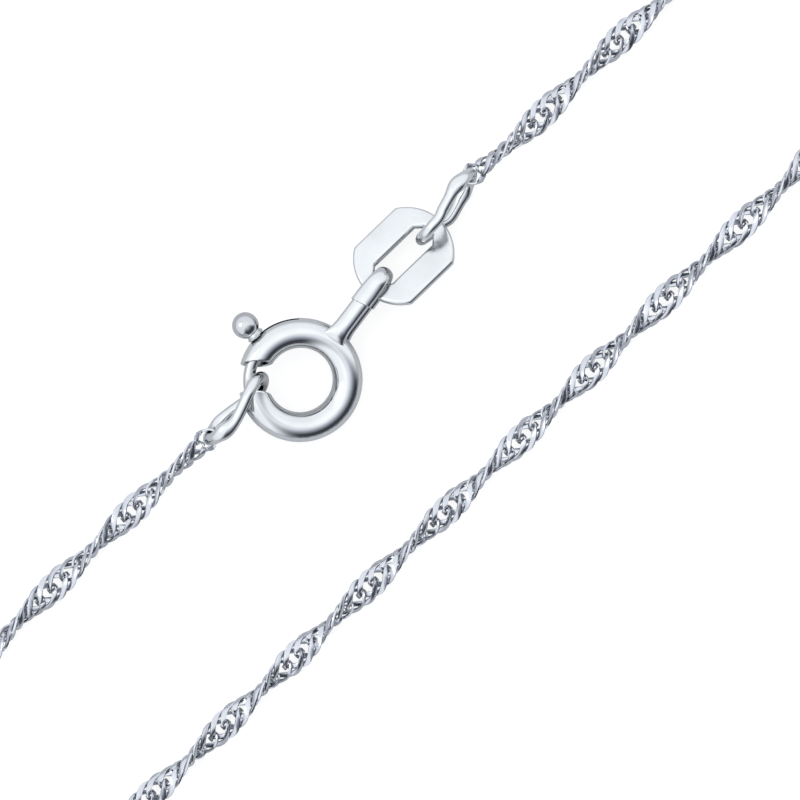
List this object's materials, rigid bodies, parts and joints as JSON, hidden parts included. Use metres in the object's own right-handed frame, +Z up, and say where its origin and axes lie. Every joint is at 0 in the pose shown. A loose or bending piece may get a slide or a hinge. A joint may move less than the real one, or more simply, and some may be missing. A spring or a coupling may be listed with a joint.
{
  "type": "chain necklace",
  "caption": "Fine twisted-link chain necklace closed by a spring ring clasp and an oval tag, lying flat as one loop.",
  "frame": {"origin": "middle of the closed loop's outline, on the surface it lies on", "axes": "+X along the two close strands, from the clasp's gate towards its tag; +Y from the plain strand towards the strand with the clasp; +Z up from the surface"},
  "size_m": [0.1922, 0.0502, 0.0029],
  "materials": {
    "silver": "polished"
  },
  "bodies": {
    "necklace": {"ring_body": "silver", "tag": "silver", "end_ring_tag": "silver", "end_ring_gate": "silver", "chain_right": "silver", "chain_left": "silver"},
    "gate": {"gate": "silver"}
  },
  "joints": [
    {"name": "gate_slide", "type": "hinge", "parent": "necklace", "child": "gate", "pos_m": [-0.00277, 0.00415, 0.00115], "axis": [0, 0.1822, -0.9833], "range_deg": [0, 37], "stiffness_Nm_per_rad": 0.002}
  ]
}
